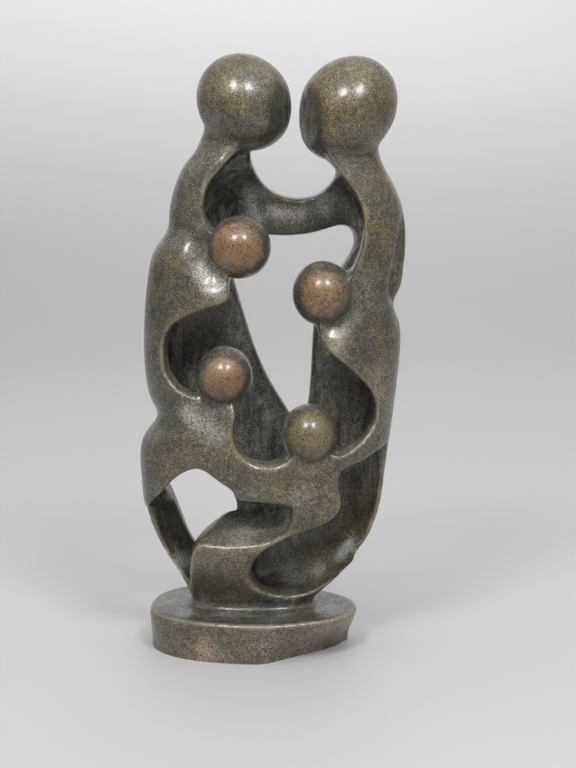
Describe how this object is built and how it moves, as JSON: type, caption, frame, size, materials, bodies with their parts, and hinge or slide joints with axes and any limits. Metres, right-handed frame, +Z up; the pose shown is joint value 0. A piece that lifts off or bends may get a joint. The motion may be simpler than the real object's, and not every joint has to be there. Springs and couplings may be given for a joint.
{
  "type": "family group sculpture",
  "caption": "Abstract carved stone family group: parents with rounded heads lean together over a pierced ring of children on an oval plinth.",
  "frame": {"origin": "middle of the plinth's flat underside", "axes": "+Z up, the front with the children's heads faces -Y, +X to the viewer's right"},
  "size_m": [0.1364, 0.0796, 0.3052],
  "materials": {
    "serpentine": "polished and waxed dark olive serpentine"
  },
  "bodies": {
    "root": {"family_group": "serpentine"}
  },
  "joints": []
}
